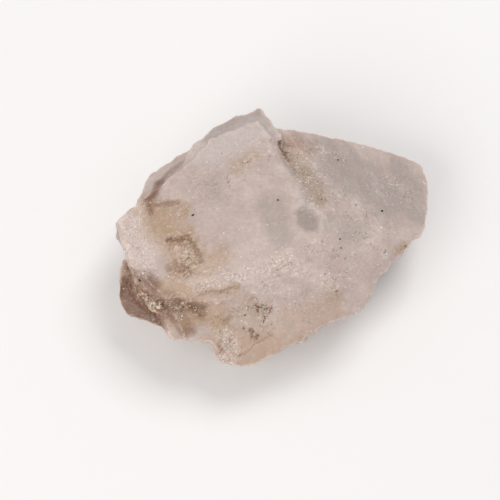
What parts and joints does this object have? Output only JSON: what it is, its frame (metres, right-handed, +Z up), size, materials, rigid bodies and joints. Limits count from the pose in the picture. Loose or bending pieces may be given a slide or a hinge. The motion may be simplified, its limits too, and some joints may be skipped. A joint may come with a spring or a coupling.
{
  "type": "halite crystal",
  "caption": "Hand-sized natural rock-salt crystal: a milky cleavage block with a flat table, sloping broken flanks, a stepped corner and a square solution pit.",
  "frame": {"origin": "middle of the bounding box on the surface that the crystal rests on", "axes": "+Z up from the resting face; +X along the crystal's length, towards the sloping end; +Y away from the front lobe"},
  "size_m": [0.0624, 0.0504, 0.0219],
  "materials": {
    "milky_salt": "frosted, slightly greasy crystal surface"
  },
  "bodies": {
    "root": {"halite_crystal": "milky_salt"}
  },
  "joints": []
}
